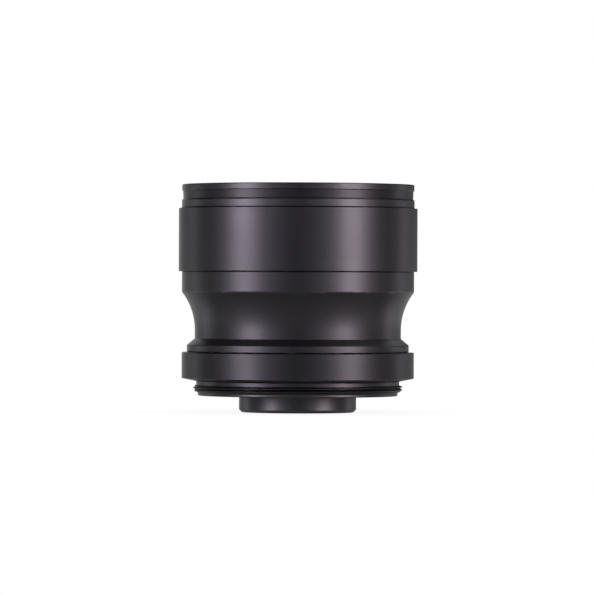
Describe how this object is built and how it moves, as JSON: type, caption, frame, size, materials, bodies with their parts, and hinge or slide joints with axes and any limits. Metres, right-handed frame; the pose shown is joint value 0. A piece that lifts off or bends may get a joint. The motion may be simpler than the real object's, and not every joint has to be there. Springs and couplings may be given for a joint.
{
  "type": "camera tele conversion lens",
  "caption": "Waisted black metal tele conversion lens with a lipped front ring, a cover sleeve and a threaded rear collar that turns, to screw onto the front of a camera's lens.",
  "frame": {"origin": "centre of the rear rim, on the optical axis", "axes": "+Z along the optical axis towards the front lens; X and Y across it"},
  "size_m": [0.0558, 0.0558, 0.0532],
  "materials": {
    "anodised": "satin black anodised, fine turned grain",
    "inner_black": "matt black anodised",
    "glass": "polished and coated optical glass",
    "steel": "plain steel",
    "shim": "rolled brass",
    "washer": "slippery white plastic",
    "cushion": "soft black rubber"
  },
  "bodies": {
    "barrel": {"waist_barrel": "anodised", "front_barrel": "inner_black", "cover_sleeve": "anodised", "front_ring": "anodised", "front_retainer": "inner_black", "front_cushion": "cushion", "front_element": "glass", "lens_spacer": "inner_black", "doublet_crown": "glass", "doublet_flint": "glass", "glare_stop": "inner_black", "stop_clip": "steel", "barrel_set_screws": "steel", "rear_cell": "anodised", "cell_shim": "shim", "rear_element": "glass", "rear_retainer": "inner_black", "cell_set_screws": "steel", "collar_washer": "washer", "collar_retainer": "inner_black"},
    "collar": {"mount_collar": "anodised"}
  },
  "joints": [
    {"name": "collar_turn", "type": "hinge", "parent": "barrel", "child": "collar", "pos_m": [0, 0, 0.0108], "axis": [0, 0, 1], "continuous": true}
  ]
}
